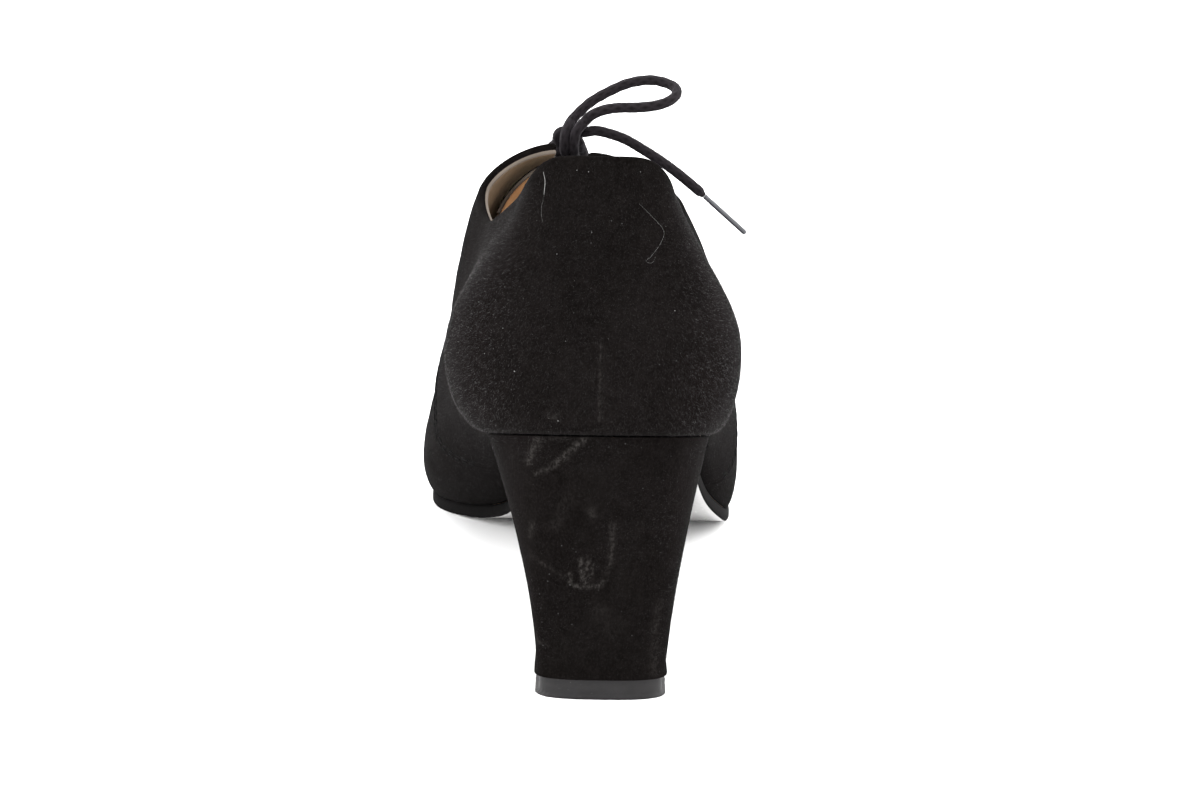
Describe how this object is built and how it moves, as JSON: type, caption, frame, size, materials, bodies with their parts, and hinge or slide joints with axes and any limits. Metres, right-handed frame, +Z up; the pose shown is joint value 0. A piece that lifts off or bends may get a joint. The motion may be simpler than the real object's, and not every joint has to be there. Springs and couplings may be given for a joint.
{
  "type": "lace-up heel",
  "caption": "Right-foot lace-up shoe with an almond toe, a low curved collar and a tapered block heel, its round lace tied in a bow.",
  "frame": {"origin": "middle of the shoe's box on the floor, the bow left out", "axes": "+Z up, +Y towards the toe, +X towards the outer side of the foot"},
  "size_m": [0.0832, 0.2468, 0.1221],
  "materials": {
    "suede": "near-black suede with a soft nap, dusty in places",
    "sock_leather": "smooth tan sock leather",
    "sole_leather": "black dressed leather, low sheen",
    "lift_rubber": "dark grey-black rubber, satin",
    "eyelet_enamel": "black enamel",
    "lace_cord": "round braided cotton, near black with a plum cast",
    "aglet_sheath": "black plastic sheath"
  },
  "bodies": {
    "root": {"upper": "suede", "tongue": "suede", "insole": "sock_leather", "outsole": "sole_leather", "heel": "suede", "heel_top_piece": "lift_rubber", "lace_crossings": "lace_cord", "lace_knot": "lace_cord", "lace_loop_outer": "lace_cord", "lace_loop_inner": "lace_cord", "lace_end_outer": "lace_cord", "lace_end_inner": "lace_cord", "aglet_outer": "aglet_sheath", "aglet_inner": "aglet_sheath", "eyelet_outer_1": "eyelet_enamel", "eyelet_outer_2": "eyelet_enamel", "eyelet_outer_3": "eyelet_enamel", "eyelet_outer_4": "eyelet_enamel", "eyelet_inner_1": "eyelet_enamel", "eyelet_inner_2": "eyelet_enamel", "eyelet_inner_3": "eyelet_enamel", "eyelet_inner_4": "eyelet_enamel"}
  },
  "joints": []
}
